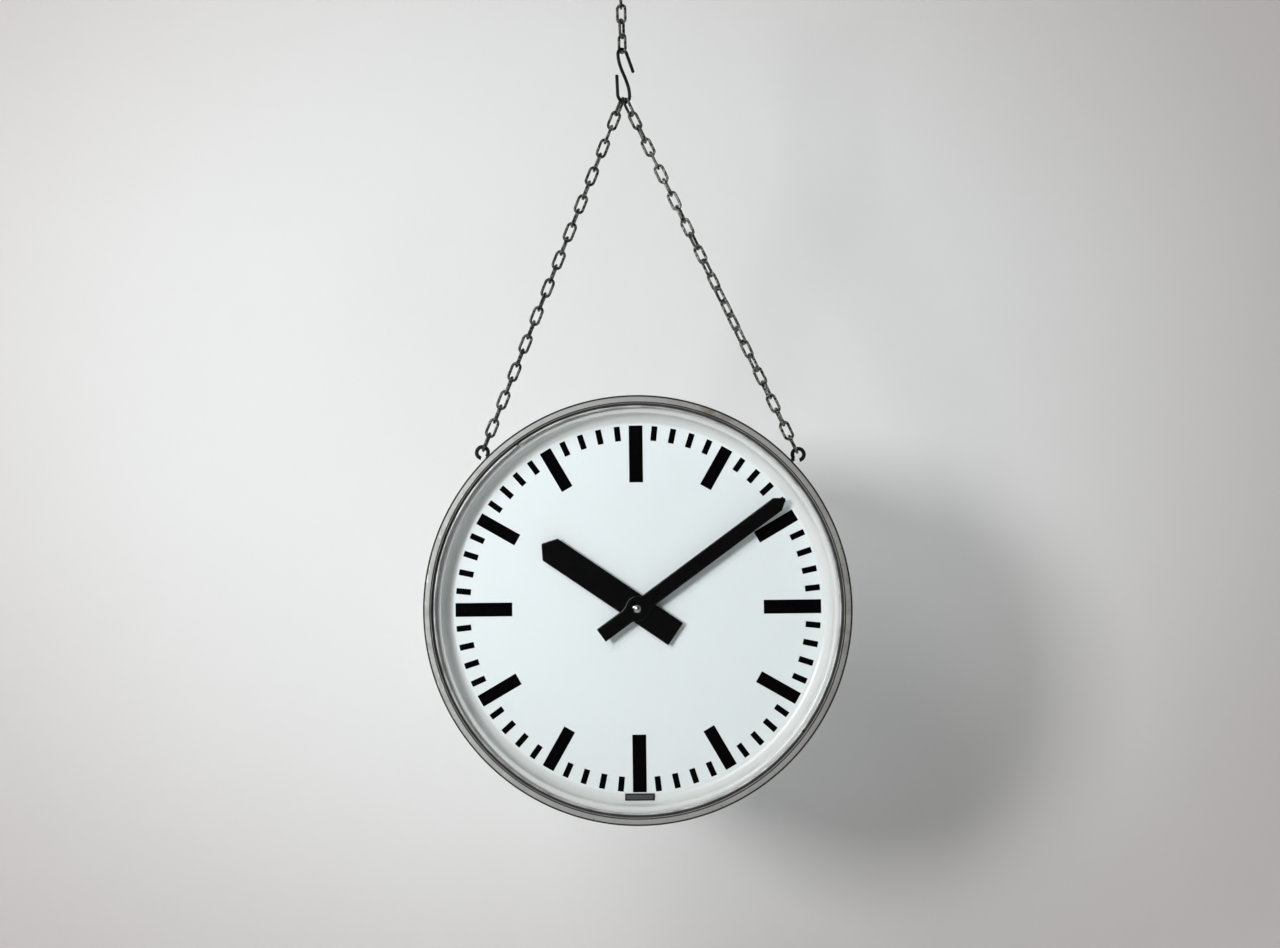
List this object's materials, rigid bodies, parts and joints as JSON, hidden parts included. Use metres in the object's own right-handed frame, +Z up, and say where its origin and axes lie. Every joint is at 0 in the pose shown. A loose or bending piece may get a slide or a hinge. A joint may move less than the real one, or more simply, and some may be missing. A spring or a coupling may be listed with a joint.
{
  "type": "double sided hanging station clock",
  "caption": "Round double sided railway station clock in a steel case, hung on a chain bridle and S-hook, with a black on white dial, glass and slave movement each side.",
  "frame": {"origin": "centre of the ceiling plate's upper face, where it meets the ceiling", "axes": "+Z up, front dial faces -Y, +X to the right of someone who reads the front dial"},
  "size_m": [0.43, 0.12, 0.8906],
  "materials": {
    "case_paint": "grey metallic paint, worn and rust spotted",
    "ring_steel": "dull galvanised",
    "zinc_steel": "zinc plated",
    "chain_steel": "tarnished plated steel",
    "black_steel": "blackened steel",
    "rubber": "matt",
    "glass": "clear float glass",
    "dial_white": "satin enamel",
    "black_print": "screen print",
    "label_grey": "satin",
    "hand_black": "satin black",
    "nut_chrome": "polished",
    "brass": "turned",
    "iron": "laminated sheet",
    "copper": "enamelled wire",
    "terminal_plastic": "moulded"
  },
  "bodies": {
    "ceiling_fitting": {"ceiling_plate": "zinc_steel", "ceiling_hook": "black_steel"},
    "top_link": {"top_link": "chain_steel"},
    "hanging_chain": {"hanging_chain": "chain_steel"},
    "s_hook": {"s_hook": "black_steel"},
    "bridle": {"left_leg_chain": "chain_steel", "right_leg_chain": "chain_steel"},
    "case": {"case_drum": "case_paint", "eye_bolts": "chain_steel", "eye_washers": "zinc_steel", "eye_nuts": "zinc_steel", "cable_grommet": "rubber", "terminal_block": "terminal_plastic", "terminal_screws": "zinc_steel", "bezel_screws": "zinc_steel", "bezel_clinch_nuts": "zinc_steel", "dial_posts": "zinc_steel", "movement_pillars": "brass", "movement_screws": "zinc_steel", "front_bezel": "case_paint", "rear_bezel": "case_paint", "front_split_ring": "ring_steel", "rear_split_ring": "ring_steel", "front_glass": "glass", "rear_glass": "glass", "front_glass_gasket": "rubber", "rear_glass_gasket": "rubber", "front_dial": "dial_white", "rear_dial": "dial_white", "front_dial_marks": "black_print", "rear_dial_marks": "black_print", "front_dial_label": "label_grey", "rear_dial_label": "label_grey", "front_movement_dial_plate": "brass", "rear_movement_dial_plate": "brass", "front_movement_back_plate": "brass", "rear_movement_back_plate": "brass", "front_stator_yoke": "iron", "rear_stator_yoke": "iron", "front_coil_bobbin": "terminal_plastic", "rear_coil_bobbin": "terminal_plastic", "front_coil_winding": "copper", "rear_coil_winding": "copper"},
    "front_minute_works": {"front_minute_arbor": "brass", "front_minute_hand": "hand_black", "front_hand_nut": "nut_chrome"},
    "front_hour_works": {"front_hour_wheel": "brass", "front_hour_hand": "hand_black"},
    "front_minute_wheel_works": {"front_minute_wheel": "brass"},
    "front_step_wheel_works": {"front_step_wheel": "brass"},
    "front_rotor_works": {"front_rotor": "iron"},
    "rear_minute_works": {"rear_minute_arbor": "brass", "rear_minute_hand": "hand_black", "rear_hand_nut": "nut_chrome"},
    "rear_hour_works": {"rear_hour_wheel": "brass", "rear_hour_hand": "hand_black"},
    "rear_minute_wheel_works": {"rear_minute_wheel": "brass"},
    "rear_step_wheel_works": {"rear_step_wheel": "brass"},
    "rear_rotor_works": {"rear_rotor": "iron"}
  },
  "joints": [
    {"name": "top_link_swing", "type": "hinge", "parent": "ceiling_fitting", "child": "top_link", "pos_m": [0, 0, -0.031], "axis": [1, 0, 0], "range_deg": [-20, 20]},
    {"name": "chain_swing", "type": "hinge", "parent": "top_link", "child": "hanging_chain", "pos_m": [0, 0, -0.0458], "axis": [0, 1, 0], "range_deg": [-20, 20]},
    {"name": "hook_rock", "type": "hinge", "parent": "hanging_chain", "child": "s_hook", "pos_m": [0, 0, -0.0932], "axis": [0.788, -0.6157, 0], "range_deg": [-15, 15]},
    {"name": "bridle_swing", "type": "hinge", "parent": "s_hook", "child": "bridle", "pos_m": [0, 0, -0.14567], "axis": [0.766, 0.6428, 0], "range_deg": [-10, 10]},
    {"name": "case_nod", "type": "hinge", "parent": "bridle", "child": "case", "pos_m": [0.00581, 0, -0.51115], "axis": [0.9993, 0.0002, -0.0375], "range_deg": [-12, 12]},
    {"name": "front_minute_turn", "type": "hinge", "parent": "case", "child": "front_minute_works", "pos_m": [0, -0.0412, -0.67561], "axis": [0, 1, 0], "continuous": true},
    {"name": "front_hour_turn", "type": "hinge", "parent": "case", "child": "front_hour_works", "pos_m": [0, -0.0412, -0.67561], "axis": [0, 1, 0], "continuous": true},
    {"name": "front_minute_wheel_turn", "type": "hinge", "parent": "case", "child": "front_minute_wheel_works", "pos_m": [0.018, -0.0282, -0.67593], "axis": [0, 1, 0], "continuous": true},
    {"name": "front_step_wheel_turn", "type": "hinge", "parent": "case", "child": "front_step_wheel_works", "pos_m": [-0.00037, -0.0162, -0.69661], "axis": [0, 1, 0], "continuous": true},
    {"name": "front_rotor_turn", "type": "hinge", "parent": "case", "child": "front_rotor_works", "pos_m": [-0.00063, -0.0162, -0.71161], "axis": [0, 1, 0], "continuous": true},
    {"name": "rear_minute_turn", "type": "hinge", "parent": "case", "child": "rear_minute_works", "pos_m": [0, 0.0412, -0.67561], "axis": [0, -1, 0], "continuous": true},
    {"name": "rear_hour_turn", "type": "hinge", "parent": "case", "child": "rear_hour_works", "pos_m": [0, 0.0412, -0.67561], "axis": [0, -1, 0], "continuous": true},
    {"name": "rear_minute_wheel_turn", "type": "hinge", "parent": "case", "child": "rear_minute_wheel_works", "pos_m": [-0.018, 0.0282, -0.6753], "axis": [0, -1, 0], "continuous": true},
    {"name": "rear_step_wheel_turn", "type": "hinge", "parent": "case", "child": "rear_step_wheel_works", "pos_m": [-0.00037, 0.0162, -0.69661], "axis": [0, -1, 0], "continuous": true},
    {"name": "rear_rotor_turn", "type": "hinge", "parent": "case", "child": "rear_rotor_works", "pos_m": [-0.00063, 0.0162, -0.71161], "axis": [0, -1, 0], "continuous": true}
  ],
  "couplings": [
    {"joint": "front_hour_turn", "follows": "front_minute_turn", "ratio": 0.083333},
    {"joint": "front_minute_wheel_turn", "follows": "front_minute_turn", "ratio": -0.33333},
    {"joint": "front_step_wheel_turn", "follows": "front_minute_turn", "ratio": -6},
    {"joint": "front_rotor_turn", "follows": "front_minute_turn", "ratio": 30},
    {"joint": "rear_minute_turn", "follows": "front_minute_turn", "ratio": 1},
    {"joint": "rear_hour_turn", "follows": "front_minute_turn", "ratio": 0.083333},
    {"joint": "rear_minute_wheel_turn", "follows": "front_minute_turn", "ratio": -0.33333},
    {"joint": "rear_step_wheel_turn", "follows": "front_minute_turn", "ratio": -6},
    {"joint": "rear_rotor_turn", "follows": "front_minute_turn", "ratio": 30}
  ]
}
